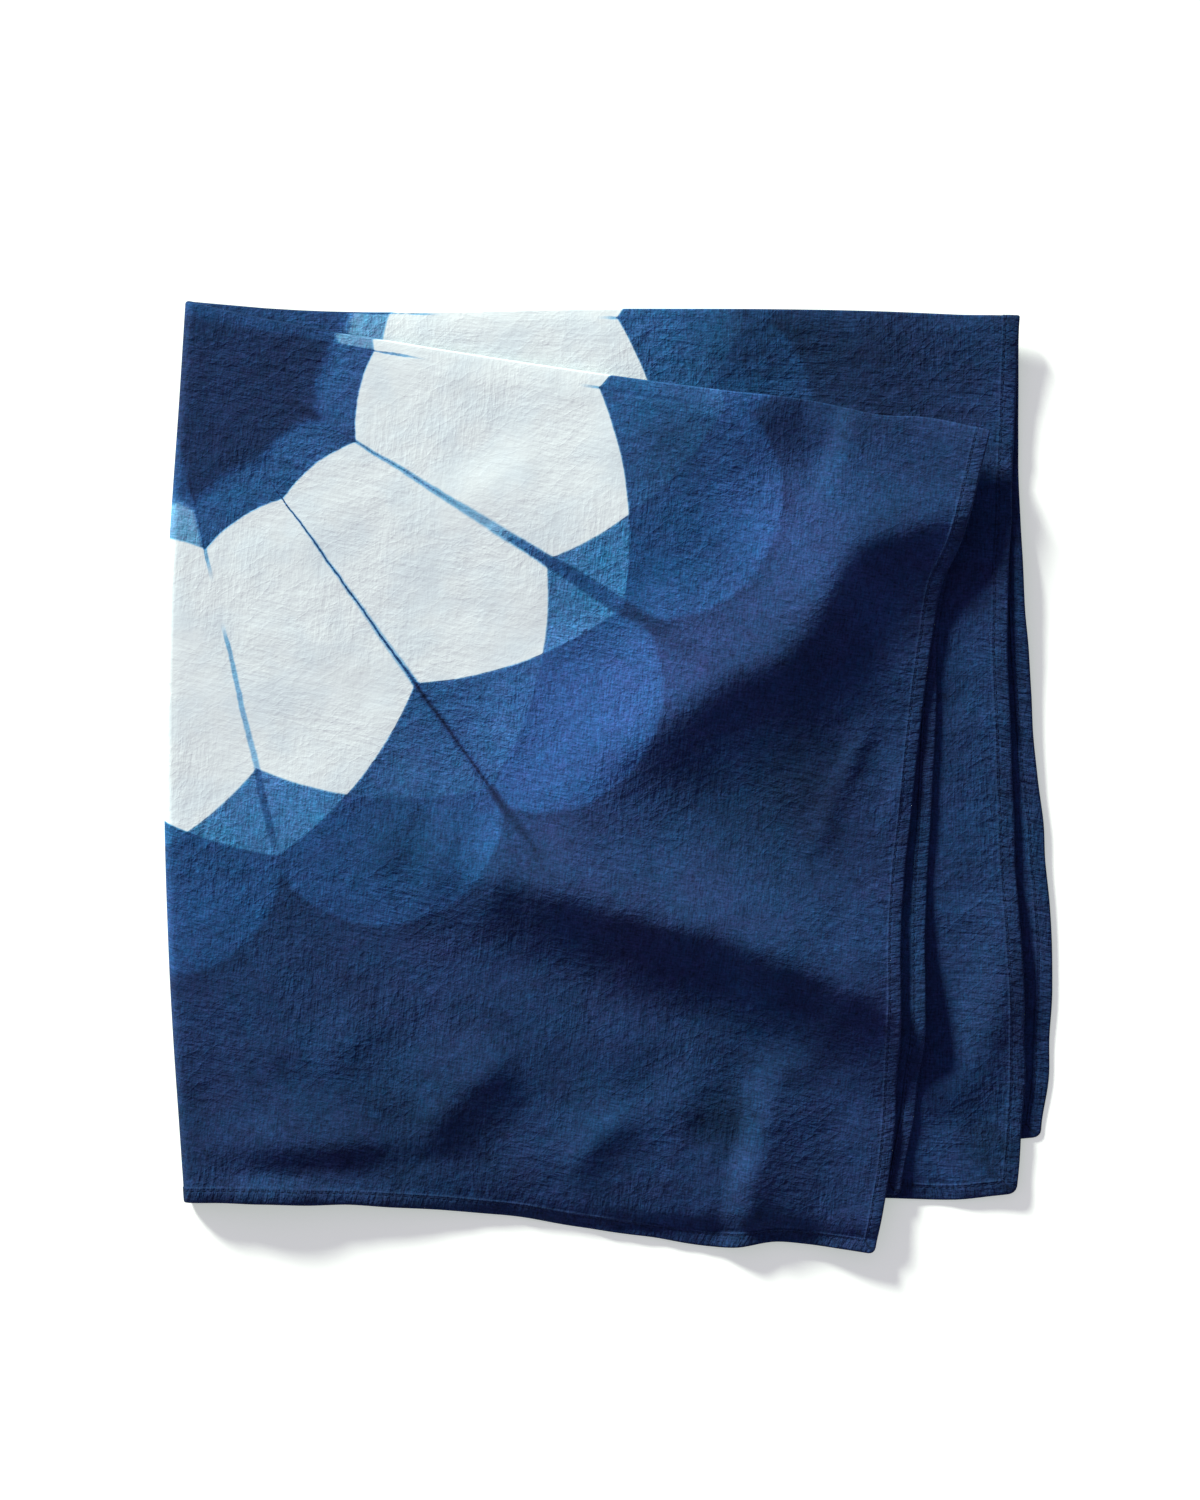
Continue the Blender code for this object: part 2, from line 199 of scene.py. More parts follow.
# The rosette was dyed about one centre, in cloth folded sixteen times. For each pair of layers: the centre as
# (x, y), the clockwise turn of the threads in degrees, and how far the top fold lies above the crease line
# through the centre
Lay = namedtuple("Lay", "centre turn fold_above")
FRONT_LAY = Lay((-148.6, 150.4), 9.3, 6.5)
BACK_LAY = Lay((-144.7, 152.4), 1.1, 2.6)
HIDDEN_RUN = 80.0

# Circles that the dye reached in one folded wedge: centre and radius, the softness of the edge and how far it
# wanders, and the depth of dye beyond it
WEDGE = math.pi / 8
Dip = namedtuple("Dip", "x y radius soft wander dye")
DIP_A = Dip(44.1, 66.0, 122.7, 0.5, 0.25, 1.45)
DIP_B = Dip(81.8, -41.1, 114.7, 0.5, 0.25, 1.0)
SCALLOP_DIP = Dip(172.2, 31.5, 40.0, 1.2, 0.5, 0.9)
INNER_DIP = Dip(122.1, 16.9, 51.4, 0.45, 0.3, 1.5)
HEART_DIP = Dip(97.7, 14.7, 40.5, 3.2, 2.5, 2.1)
# The inner ring and the heart fade out between two distances from the centre. The ring is paler in the last
# wedge, from and to an angle in degrees, on the strip above the crease, from and to a product of the place's
# two parts, and on the back pair.
HEART_END = (130.0, 110.0)
LAST_WEDGE = (66.5, 69.0)
UNDER_FOLD = (-20.0, 60.0)
BACK_PAIR = (0.0, -10.0)
PALE_RING_SHARE = 0.5
# Dye that crept in along a crease: the angle, the half width at the centre and how much it grows over 100 mm,
# the dye, and the distances from the centre where it starts and ends, each with the length of its fading
Crease = namedtuple("Crease", "angle width growth dye start fade_in end fade_out")
CREASES = [
    Crease(22.5, -1.0, 2.0, 0.55, 62.0, 14.0, 240.0, 60.0),
    Crease(22.5, -0.5, 0.85, 0.35, 62.0, 8.0, 130.0, 30.0),
    Crease(22.5, -2.4, 2.8, 0.8, 128.0, 20.0, 220.0, 60.0),
    Crease(22.5, 1.6, 0.0, 0.8, 48.0, 8.0, 74.0, 14.0),
    Crease(45.0, 0.05, 0.22, 1.5, 60.0, 10.0, 225.0, 30.0),
    Crease(45.0, -0.5, 1.2, 0.42, 66.0, 20.0, 190.0, 30.0),
    Crease(45.0, -1.2, 1.4, 1.1, 138.0, 12.0, 225.0, 25.0),
    Crease(67.5, 0.1, 0.6, 0.55, 50.0, 8.0, 90.0, 10.0),
    Crease(67.5, -0.2, 0.85, 0.55, 102.0, 8.0, 190.0, 30.0),
    Crease(0.0, 0.1, 0.3, 0.7, 60.0, 10.0, 92.0, 12.0),
    Crease(0.0, 0.1, 0.3, 0.7, 140.0, 10.0, 185.0, 20.0),
    Crease(90.0, 0.1, 0.5, 0.8, 60.0, 10.0, 185.0, 20.0),
]
GROWTH_RUN = 100.0
CREASE_LEAST = 0.02
CREASE_WANDER = 0.5
CREASE_SIDE = (1.35, 0.5)
# Colour of the cloth for each depth of dye, undyed to deepest
DYE_COLOURS = [
    (0.0, (0.625, 0.680, 0.704)),
    (0.5, (0.185, 0.390, 0.575)),
    (1.0, (0.0400, 0.148, 0.335)),
    (1.45, (0.0185, 0.0750, 0.200)),
    (2.45, (0.0138, 0.0530, 0.160)),
    (3.4, (0.0092, 0.0262, 0.0830)),
    (4.6, (0.0055, 0.0155, 0.0500)),
]
DEEPEST = 4.6
# The hem band is drawn darker, by this much more depth on the scale above.
HEM_DARKER = 0.35
DYED_FROM = (0.3, 1.0)
# How much each effect shows on undyed and on dyed cloth: the threads' contrast, the uneven tone with its
# painted light and shade, and the bump
THREAD_CONTRAST = (0.12, 3.6)
TONE_AND_PAINTED_LIGHT_SHOWS = (0.16, 1.0)
BUMP_SHOWS = (0.27, 1.0)
# The faint marks that the dye bath left on the undyed petals, and the noise values over which they set in
PETAL_MARKS = 0.05
MARKS_FROM = (0.40, 0.66)
# A warm tinge takes some green away, and the patches of painted shade are more teal, those of painted light
# more violet
GREEN_SHARE = -0.2
PAINTED_LIGHT_TINGE = 0.35

# Noise in the materials: the cells in a millimetre across and down the cloth, its strength, detail and
# roughness, and its turn in degrees. The creases have a strength of 2, so that they run from 0 to 1.
Noise = namedtuple("Noise", "across down strength detail roughness turn", defaults=(1.0, 2.0, 0.5, 0.0))
NOISES = {
    "fine edge": Noise(0.45, 0.45, 1.2),
    "broad edge": Noise(0.07, 0.07, 2.0, 1.0),
    "broad tone": Noise(0.045, 0.045, 0.54),
    "small tone": Noise(0.22, 0.22, 0.9, 3.0, 0.65),
    "slow tinge": Noise(0.02, 0.02, 0.9, 1.0),
    "small tinge": Noise(0.12, -0.12, 0.9, 3.0, 0.6),
    "dye mottle": Noise(0.035, 0.035, 0.3, 3.0, 0.6),
    "petal marks": Noise(0.055, 0.055, 1.0, 3.0, 0.55),
    "slubs across": Noise(0.30, 2.0, 1.0, 1.0),
    "slubs down": Noise(2.0, 0.26, 1.0, 1.0),
    "thread specks": Noise(1.5, 1.5, 1.0, 1.0),
    "which set": Noise(0.022, 0.022, 1.0, 1.0),
    "lying streaks": Noise(0.055, 0.42, 1.6, 2.0, 0.6, 3.0),
    "lying creases": Noise(0.07, 0.22, 2.0, 3.0, 0.6, 4.0),
    "standing streaks": Noise(0.45, 0.06, 1.6, 2.0, 0.6, -4.0),
    "standing creases": Noise(0.25, 0.08, 2.0, 3.0, 0.6, -5.0),
    "slanted creases": Noise(0.06, 0.15, 2.0, 3.0, 0.6, -38.0),
    "broad dents": Noise(0.13, 0.13, 1.3),
    "small dents": Noise(0.5, 0.5, 1.0, 2.0, 0.6),
    "how crinkled": Noise(0.03, 0.03, 1.0, 1.0),
    "hem pucker": Noise(0.13, 0.55, 1.0, 3.0, 0.6),
}
# The crinkle's bump: its height in millimetres, the noise values over which the standing set gives way to the
# lying one, the share of each set on the two sides, and how much more crinkled some places are than others
CRINKLE_HEIGHT = 0.22
SETS_CHANGE = (0.40, 0.60)
LYING_SHOWS = (0.25, 1.0)
STANDING_SHOWS = (1.0, 0.2)
CRINKLE_FROM = (0.35, 0.62)
CRINKLE_SHOWS = (0.75, 1.3)
BACK_FROM = (0.0, -20.0)
BACK_SHOWS = (1.0, 1.25)
# The weave's bump in millimetres, and the gap between threads in the cloth and in the sewing thread
WEAVE_HEIGHT = 0.006
SLUB_HEIGHT = 0.03
THREAD_GAP = 0.42
FUZZ_GAP = 0.2
# The hem's bump: how soft its inner edge is, the pucker's slant, reach inwards and share beyond the hem, and
# the half width of the stitches' groove, from its rim to its bed, with its depth
HEM_EDGE = 0.3
PUCKER_SLANT = 0.35
PUCKER_REACH = 15.0
PUCKER_BEYOND = 0.45
GROOVE = (0.75, 0.1)
GROOVE_DEPTH = 0.08
# The shaders' roughness and sheen, and the sewing thread's colours
MATT_ROUGHNESS = 0.9
THREAD_ROUGHNESS = 0.75
SPECULAR = 0.1
DARK_THREAD = (0.00225, 0.006, 0.0198)
PALE_THREAD = (0.00675, 0.018, 0.0594)

# Soft places painted lighter or darker on the dyed cloth: painted light where the cloth faces the lamp,
# painted shade
# where it is half lit. For each: the place on the open cloth, how far it reaches, and the share by which it
# is lighter
ToneAndPaintedLight = namedtuple("ToneAndPaintedLight", "across down reach lighter")
PAINTED_LIGHT_AND_SHADE = [
    ToneAndPaintedLight(157, -112, 46, 0.60),
    ToneAndPaintedLight(187, -83, 40, 0.30),
    ToneAndPaintedLight(222, -38, 46, 0.35),
    ToneAndPaintedLight(234, -121, 34, -0.35),
    ToneAndPaintedLight(225, -228, 18, -0.40),
    ToneAndPaintedLight(123, -255, 50, -0.22),
    ToneAndPaintedLight(60, -262, 30, -0.15),
    ToneAndPaintedLight(111, -158, 28, -0.35),
    ToneAndPaintedLight(176, -14, 26, -0.30),
    ToneAndPaintedLight(-194, 8, 36, -0.50),
    ToneAndPaintedLight(-233, 12, 36, -0.30),
    ToneAndPaintedLight(-274, 268, 18, -0.35),
]

# Stitches
STITCH_PITCH = 2.1
STITCH_LENGTH = 1.6
STITCH_RADIUS = 0.14
STITCH_SIDES = 6
STITCH_RINGS = 5
STITCH_BOW = 1.1
STITCH_SINK = 0.6
STITCH_TAPER = 1.7
STITCH_AIM = 0.5

# Camera and light, in metres and degrees
CAMERA_PLACE = (-0.0028, 0.0091, 1.6)
CAMERA_LENS = 118.0
CAMERA_FILM = 36.0
KEY_HEIGHT = 18.0
KEY_WAY = (0.6, -0.8)
KEY_STRENGTH = 8.95
KEY_COLOUR = (0.92, 1.0, 0.865)
KEY_SOFTNESS = 13.0
ROOM_COLOUR = (0.86, 0.65, 1.0)
ROOM_STRENGTH = 0.33
FLOOR_HALF = 10.0
FLOOR_COLOUR = (0.88, 0.88, 0.885)
FLOOR_GLOW = 0.41
FLOOR_GLOW_COLOUR = (0.85, 1.0, 0.82)
BACKDROP = (0.95, 0.95, 0.95)


def smooth_through(places, values, at):
    """Rows of values between given ones, on cubics that slope at their ends as the neighbours lie."""
    slopes = np.gradient(values, places, axis=0)
    stretch = np.clip(np.searchsorted(places, at, side="right") - 1, 0, len(places) - 2)
    run = (places[stretch + 1] - places[stretch])[..., None]
    q = np.clip((at - places[stretch])[..., None] / run, 0, 1)
    rise = q * q * (3 - 2 * q)
    leaving = slopes[stretch] * run * q * (1 - q) ** 2
    arriving = slopes[stretch + 1] * run * q * q * (1 - q)
    return values[stretch] * (1 - rise) + values[stretch + 1] * rise + leaving - arriving


def ease(value):
    """A smooth step from 0 at 0 to 1 at 1."""
    q = np.clip(value, 0, 1)
    return q * q * (3 - 2 * q)


def eased(places, values, at):
    """Values between given ones, each reached and left on the level."""
    q = np.interp(at, places, np.arange(len(places)))
    lower = np.clip(q.astype(int), 0, len(places) - 2)
    return values[lower] + (values[lower + 1] - values[lower]) * ease(q - lower)


def along(points, share):
    """Points at the given shares, 0 to 1, of the length of a smooth curve through the given points."""
    knots = np.array(points, dtype=float)
    lengths = np.linalg.norm(np.diff(knots, axis=0), axis=1)
    places = np.concatenate(([0.0], np.cumsum(lengths))) / lengths.sum()
    return smooth_through(places, knots, share)


def patch(layer, s, t):
    """Plan of a layer: s runs from the left fold to the right hem, and t from the top fold to the bottom hem.

    It is the mean of the left and right edges plus that of the top and bottom edges, each by its share, less
    that of the four corners.
    """
    top_left, top_right = np.array(layer.top[0]), np.array(layer.top[-1])
    bottom_left, bottom_right = np.array(layer.bottom[0]), np.array(layer.bottom[-1])
    left, right = along(layer.left, t), along(layer.right, t)
    top, bottom = along(layer.top, s), along(layer.bottom, s)
    s = s[..., None]
    t = t[..., None]
    corners = (1 - t) * ((1 - s) * top_left + s * top_right) + t * ((1 - s) * bottom_left + s * bottom_right)
    return (1 - s) * left + s * right + (1 - t) * top + t * bottom - corners


def uneven(x, y, cell_x, cell_y, seed):
    """Soft unevenness from -1 to 1 or so: random heights on a lattice of cells, eased from knot to knot."""
    across, up = x / cell_x, y / cell_y
    i, j = np.floor(across).astype(int), np.floor(up).astype(int)
    knots = (i.max() - i.min() + 2, j.max() - j.min() + 2)
    heights = np.random.default_rng(seed).normal(0, CELL_HEIGHT, knots)
    p, q = ease(across - i), ease(up - j)
    i, j = i - i.min(), j - j.min()
    low = heights[i, j] * (1 - p) + heights[i + 1, j] * p
    high = heights[i, j + 1] * (1 - p) + heights[i + 1, j + 1] * p
    return low * (1 - q) + high * q


def ridge_height(ridge, x, y):
    """Height of one ridge, which falls off ever less steeply over the width of the flank on each side."""
    crest = np.array(ridge.crest, dtype=float)
    start = crest[0, :2]
    chord = crest[-1, :2] - start
    ahead = chord / np.linalg.norm(chord)
    aside = np.array((-ahead[1], ahead[0]))
    places = (crest[:, :2] - start) @ ahead
    offsets = ((crest[:, :2] - start) @ aside)[:, None]
    at = (x - start[0]) * ahead[0] + (y - start[1]) * ahead[1]
    off = (x - start[0]) * aside[0] + (y - start[1]) * aside[1]
    distance = off - smooth_through(places, offsets, at)[..., 0]
    flank = np.where(distance > 0, ridge.left, ridge.right)
    rounded = np.hypot(distance, ridge.rounding) - ridge.rounding
    across = np.clip(1 - rounded / flank, 0, 1) ** 2
    return across * eased(places, crest[:, 2], at)


def total_height(ridges, x, y):
    """Sum of the heights of several ridges."""
    return sum(ridge_height(ridge, x, y) for ridge in ridges)


def from_hems(s, t):
    """How far in a place lies from the side hem and from the end hem."""
    return (1 - s) * LAYER_WIDTH, (1 - t) * LAYER_LENGTH


def hem_pucker(x, y, s, t, seed):
    """Small waves that run in from the hems: unevenness that is short along the hem and long across it."""
    short, long = HEM_PUCKER_CELLS
    from_side, from_end = from_hems(s, t)
    side = uneven(x, y, long, short, seed) * ease(1 - from_side / HEM_PUCKER_REACH)
    end = uneven(x, y, short, long, seed + 1) * ease(1 - from_end / HEM_PUCKER_REACH)
    return HEM_PUCKER * (side + end)


def crinkle(x, y, s, t, seed):
    """Sum of the soft unevenness of each crinkle row, each along its own turn, and of the hems' pucker."""
    crumpled = ease((CRUMPLED_FROM - y) / CRUMPLED_RUN)
    washed = hem_pucker(x, y, s, t, seed + len(CRINKLES))
    for i, row in enumerate(CRINKLES):
        turn = math.radians(row.turn)
        ahead = x * math.cos(turn) + y * math.sin(turn)
        aside = y * math.cos(turn) - x * math.sin(turn)
        height = row.smooth + (row.crumpled - row.smooth) * crumpled
        washed = washed + height * uneven(ahead, aside, row.long, row.broad, seed + i)
    return washed


def by_fold_end(s):
    """How near a place along the top folds is to either of their ends: 1 there, and 0 further along."""
    by_hem = ease(((1 - s) * LAYER_WIDTH - HEM_WIDTH) / END_PRESS_RUN)
    return 1 - by_hem * ease(s * LAYER_WIDTH / END_PRESS_RUN)


def relief(x, y, s, t):
    """How far each of the four layers lies above its place in a flat stack, top layer first."""
    from_left, from_top = s * LAYER_WIDTH, t * LAYER_LENGTH
    middle = math.prod(ease(inset / PUFF_RUN) for inset in (from_left, from_top, *from_hems(s, t)))
    press = FOLD_PRESS + (END_PRESS - FOLD_PRESS) * by_fold_end(s)
    press = press * np.clip(1 - from_top / FOLD_PRESS_RUN, 0, 1)
    free = CALM_SHARE + (1 - CALM_SHARE) * ease(from_top / CALM_RUN)
    settled = FRONT_SETTLE * ease(from_left / PUFF_RUN)
    raised = FRONT_PUFF * middle + total_height(FRONT_RIDGES, x, y)
    raised = 0.5 * (raised + np.sqrt(raised ** 2 + SOFT_FLOOR ** 2))
    lowest = total_height(BACK_RIDGES, x, y)
    layer_3 = LAYER_3_PUFF * middle + total_height(LAYER_3_RIDGES, x, y)
    washed_1, washed_2, washed_3 = [free * crinkle(x, y, s, t, seed) for seed in LAYER_SEEDS]
    return [
        raised - settled - press + total_height(DROOPS, x, y) + washed_1,
        raised * INNER_SHARE - INNER_SETTLE * settled + press + INNER_CRINKLE * washed_2,
        lowest - press + layer_3 + washed_3,
        lowest + press,
    ]


def layer_lines(fold_radius, length, count, crowding):
    """Grid lines from a fold to a hem, as shares of the length, with the hem's own lines at the end."""
    start = fold_radius / length
    hem = 1 - np.array(HEM_LINES) / length
    spread = np.linspace(0, 1, count) ** crowding
    return np.concatenate((start + (hem[0] - start) * spread[:-1], hem))


def stations(fold_radius, length, first, turn_count, last):
    """Grid lines from one hem, round a fold, to the other hem.

    Gives for each line its share of the layer's side, counted from the fold, and its angle round the fold.
    """
    first = layer_lines(fold_radius, length, *first)[::-1]
    last = layer_lines(fold_radius, length, *last)
    turn = np.linspace(0, np.pi, turn_count + 1)[1:-1]
    share = np.concatenate((first, np.full(turn.size, last[0]), last))
    angle = np.concatenate((np.zeros(first.size), turn, np.full(last.size, np.pi)))
    return share, angle


def hem_wander(x, y, s, t):
    """Small sideways wander of the hems in plan, fading out a little way in from each."""
    moved = [uneven(x, y, HEM_WANDER_CELL, HEM_WANDER_CELL, seed) * ease(1 - inset / HEM_PUCKER_REACH)
             for seed, inset in zip(WANDER_SEEDS, from_hems(s, t))]
    return np.stack(moved, axis=-1) * HEM_WANDER


def place_on_cloth(lay, x, y):
    """Distances right of and below the dyed centre, along the threads of a pair of layers."""
    turn = math.radians(lay.turn)
    right, down = x - lay.centre[0], lay.centre[1] - y
    return right * math.cos(turn) + down * math.sin(turn), down * math.cos(turn) - right * math.sin(turn)


def rounded_corners(s, t):
    """Shares of the layer's sides drawn in near its open corner, so that the corner comes out round."""
    from_side, from_end = [CORNER_ROUNDING - inset for inset in from_hems(s, t)]
    near = (from_side > 0) & (from_end > 0)
    distance = np.hypot(from_side, from_end)
    drawn = np.where(near, np.maximum(from_side, from_end) / np.where(near, distance, 1), 1)
    return (1 - (CORNER_ROUNDING - from_side * drawn) / LAYER_WIDTH,
            1 - (CORNER_ROUNDING - from_end * drawn) / LAYER_LENGTH)


def dyed_places(x, y, s, t, weights):
    """Each point's place on the open cloth, signed from the dyed centre, in the four layers by their weights.

    Across counts up from the crease line by the left fold, on the front pair, and down on the back pair. Down
    counts the other way on the layers under a top fold. On layers 2 and 4, which the others cover, the places
    ease over into those of the layer on the other side of the left fold.
    """
    front_across, front_down = place_on_cloth(FRONT_LAY, x, y)
    back_across, back_down = place_on_cloth(BACK_LAY, x, y)
    hidden = ease(1 - s * LAYER_WIDTH / HIDDEN_RUN)
    slack = front_across + back_across
    shift = FRONT_LAY.fold_above + BACK_LAY.fold_above
    across = [front_across, front_across - slack * hidden, -back_across, -back_across + slack * hidden]
    down = [
        -front_down,
        2 * FRONT_LAY.fold_above + front_down - (shift + FRONT_LAY.fold_above) * hidden,
        back_down,
        -2 * BACK_LAY.fold_above - back_down + shift * hidden,
    ]
    return [sum(weight * place for weight, place in zip(weights, places)) for places in (across, down)]


def middle_surface():
    """Middle surface of the cloth, as rows and columns of points, with two places for each point.

    One is its place on the open cloth. The other is by the nearest hem: how far in, and how far along.
    The left fold turns by the angle turn, from the front pair to the back pair, with the outer layers round a
    larger radius than the inner ones. The top fold turns by the angle roll, from the outer layer to the inner
    one. In a fold the plan, the relief and the level pass from one layer to the next by the cosine of its
    angle.
    """
    across, turn = stations(OUTER_TURN * LAYER_STEP, LAYER_WIDTH, FRONT_COLUMNS, LEFT_TURNS, BACK_COLUMNS)
    down, roll = stations(TOP_ROLL * LAYER_STEP, LAYER_LENGTH, OUTER_ROWS, TOP_TURNS, INNER_ROWS)
    turn, roll = np.meshgrid(turn, roll)
    across, down = np.meshgrid(across, down)
    front = 0.5 + 0.5 * np.cos(turn)
    outer = 0.5 + 0.5 * np.cos(roll)
    radius = INNER_TURN + (OUTER_TURN - INNER_TURN) * outer
    s = across - radius * np.sin(turn) * LAYER_STEP / LAYER_WIDTH
    bulge = TOP_BULGE + (END_BULGE - TOP_BULGE) * by_fold_end(s)
    t = down - bulge * np.sin(roll) / LAYER_LENGTH
    weights = [front * outer, front * (1 - outer), (1 - front) * (1 - outer), (1 - front) * outer]
    drawn_s, drawn_t = rounded_corners(s, t)
    plan = sum(weight[..., None] * patch(layer, drawn_s, drawn_t) for weight, layer in zip(weights, LAYERS))
    plan = plan + hem_wander(plan[..., 0], plan[..., 1], s, t)
    x, y = plan[..., 0], plan[..., 1]
    lift = sum(weight * height for weight, height in zip(weights, relief(x, y, s, t)))
    level = OUTER_TURN + radius * np.cos(turn)
    z = 0.5 * CLOTH_THICKNESS + LAYER_STEP * level + lift
    from_side, from_end = from_hems(s, t)
    run = np.where(from_side < from_end, from_end, 2 * LAYER_LENGTH + from_side) * np.where(turn < 1, 1, -1)
    by_hem = [np.minimum(from_side, from_end), run]
    return np.stack((x, y, z), axis=-1), dyed_places(x, y, s, t, weights), by_hem


def unit_normals(middle):
    """Normals of a grid of points, on the right side of the cloth."""
    normals = np.cross(np.gradient(middle, axis=0), np.gradient(middle, axis=1))
    return normals / np.linalg.norm(normals, axis=-1, keepdims=True)


def two_sides(middle, inset):
    """Right and wrong side of the cloth, set off from its middle.

    The hem is thicker than the cloth by an even step, more on the wrong side, to which it is turned. It is
    drawn in a little along its stitching, and rounds off at the very edge.
    """
    normals = unit_normals(middle)
    turned = ease((HEM_WIDTH + HEM_STEP_START - inset) / HEM_STEP)
    dent = STITCH_DENT * ease(1 - np.abs(inset - STITCH_INSET) / DENT_REACH)
    edge = np.sqrt(np.clip(1 - (1 - np.clip(inset / EDGE_ROUNDING, 0, 1)) ** 2, EDGE_LEAST, 1))
    above = (0.5 * CLOTH_THICKNESS + HEM_SHOWS * turned) * edge - dent
    below = (0.5 * CLOTH_THICKNESS + (HEM_THICKNESS - HEM_SHOWS - CLOTH_THICKNESS) * turned) * edge - dent
    right_side = middle + normals * above[..., None]
    wrong_side = middle - normals * below[..., None]
    for side in (right_side, wrong_side):
        side[..., 2] = np.maximum(side[..., 2], 0)
    return right_side, wrong_side


def new_object(name, data):
    """A new object in the scene."""
    made = bpy.data.objects.new(name, data)
    bpy.context.scene.collection.objects.link(made)
    return made


def add_piece(name, points, faces, material, maps=()):
    """A smooth mesh piece in its final place, riding on the part's one body, with UV maps by name."""
    mesh = bpy.data.meshes.new(name)
    mesh.from_pydata((points * MILLIMETRE).tolist(), [], faces.tolist())
    mesh.polygons.foreach_set("use_smooth", np.ones(len(mesh.polygons), dtype=bool))
    corners = np.zeros(len(mesh.loops), dtype=np.int32)
    mesh.loops.foreach_get("vertex_index", corners)
    for map_name, places in maps:
        uv = mesh.uv_layers.new(name=map_name)
        uv.data.foreach_set("uv", (places[corners] * MILLIMETRE).ravel())
    mesh.materials.append(material)
    mesh.update()
    piece = new_object(name, mesh)
    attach(piece, "root")
    return piece


def sheet_faces(rows, columns):
    """Faces of a closed sheet whose right side's points come first: both sides, and a rim round the edge."""
    index = np.arange(rows * columns).reshape(rows, columns)
    here, up = index[:-1, :-1].ravel(), index[1:, :-1].ravel()
    up_next, next_one = index[1:, 1:].ravel(), index[:-1, 1:].ravel()
    right_side = np.stack((here, up, up_next, next_one), axis=1)
    wrong_side = right_side[:, ::-1] + rows * columns
    rim = np.concatenate((index[0, :], index[1:, -1], index[-1, -2::-1], index[-2:0:-1, 0]))
    ahead = np.roll(rim, -1)
    edge = np.stack((rim, ahead, ahead + rows * columns, rim + rows * columns), axis=1)
    return np.concatenate((right_side, wrong_side, edge))


def between(at, places, rows):
    """Rows of three numbers in between the given ones, each by its share."""
    return np.stack([np.interp(at, places, rows[:, k]) for k in range(3)], axis=1)


def stitch_line(points, normals):
    """Centres, directions and outward normals of the stitches along one line of points, a pitch apart."""
    lengths = np.linalg.norm(np.diff(points, axis=0), axis=1)
    places = np.concatenate(([0.0], np.cumsum(lengths)))
    count = int((places[-1] - 2 * HEM_WIDTH) / STITCH_PITCH)
    at = HEM_WIDTH + STITCH_PITCH * (np.arange(count) + 0.5)
    centre = between(at, places, points)
    ahead = between(at + STITCH_AIM, places, points) - centre
    return centre, ahead / np.linalg.norm(ahead, axis=1, keepdims=True), between(at, places, normals)


def stitch_rows(side_points, normals, columns, rows):
    """All the stitches on one side of the cloth: along the two side hems and the two end hems."""
    lines = [(side_points[:, k], normals[:, k]) for k in columns]
    lines += [(side_points[k, :], normals[k, :]) for k in rows]
    found = [stitch_line(*line) for line in lines]
    return [np.concatenate([line[k] for line in found]) for k in range(3)]


def thread_stitches(centre, ahead, outward):
    """Points and faces of many stitches: each a short bar of thread that bows up and dips at both ends.

    Rings of points go round the thread at even places along it, and both ends are closed. A stitch that would
    reach below the surface is raised to lie on it.
    """
    aside = np.cross(outward, ahead)
    aside /= np.linalg.norm(aside, axis=1, keepdims=True)
    outward = np.cross(ahead, aside)
    along_it = np.linspace(-0.5, 0.5, STITCH_RINGS)
    bow = STITCH_RADIUS * (STITCH_BOW * np.cos(np.pi * along_it) - STITCH_SINK)
    girth = STITCH_RADIUS * np.sqrt(1 - (STITCH_TAPER * along_it) ** 2)
    angle = np.linspace(0, 2 * np.pi, STITCH_SIDES, endpoint=False)
    ring = (
        ahead[:, None, None, :] * (STITCH_LENGTH * along_it)[None, :, None, None]
        + aside[:, None, None, :] * (girth[:, None] * np.cos(angle))[None, :, :, None]
        + outward[:, None, None, :] * (bow[:, None] + girth[:, None] * np.sin(angle))[None, :, :, None]
    )
    points = centre[:, None, None, :] + ring
    points[..., 2] -= np.minimum(points[..., 2].min(axis=(1, 2)), 0)[:, None, None]
    index = np.arange(len(along_it) * STITCH_SIDES).reshape(len(along_it), STITCH_SIDES)
    turned = np.roll(index, -1, axis=1)
    skin = np.stack((index[:-1], turned[:-1], turned[1:], index[1:]), axis=-1).reshape(-1, 4)
    caps = [(ring_row[0], ring_row[k], ring_row[k + 1], ring_row[k + 2])
            for ring_row in (index[0, ::-1], index[-1]) for k in range(1, STITCH_SIDES - 2, 2)]
    one = np.concatenate((skin, np.array(caps)))
    starts = np.arange(len(centre)) * index.size
    return points.reshape(-1, 3), (one[None] + starts[:, None, None]).reshape(-1, 4)


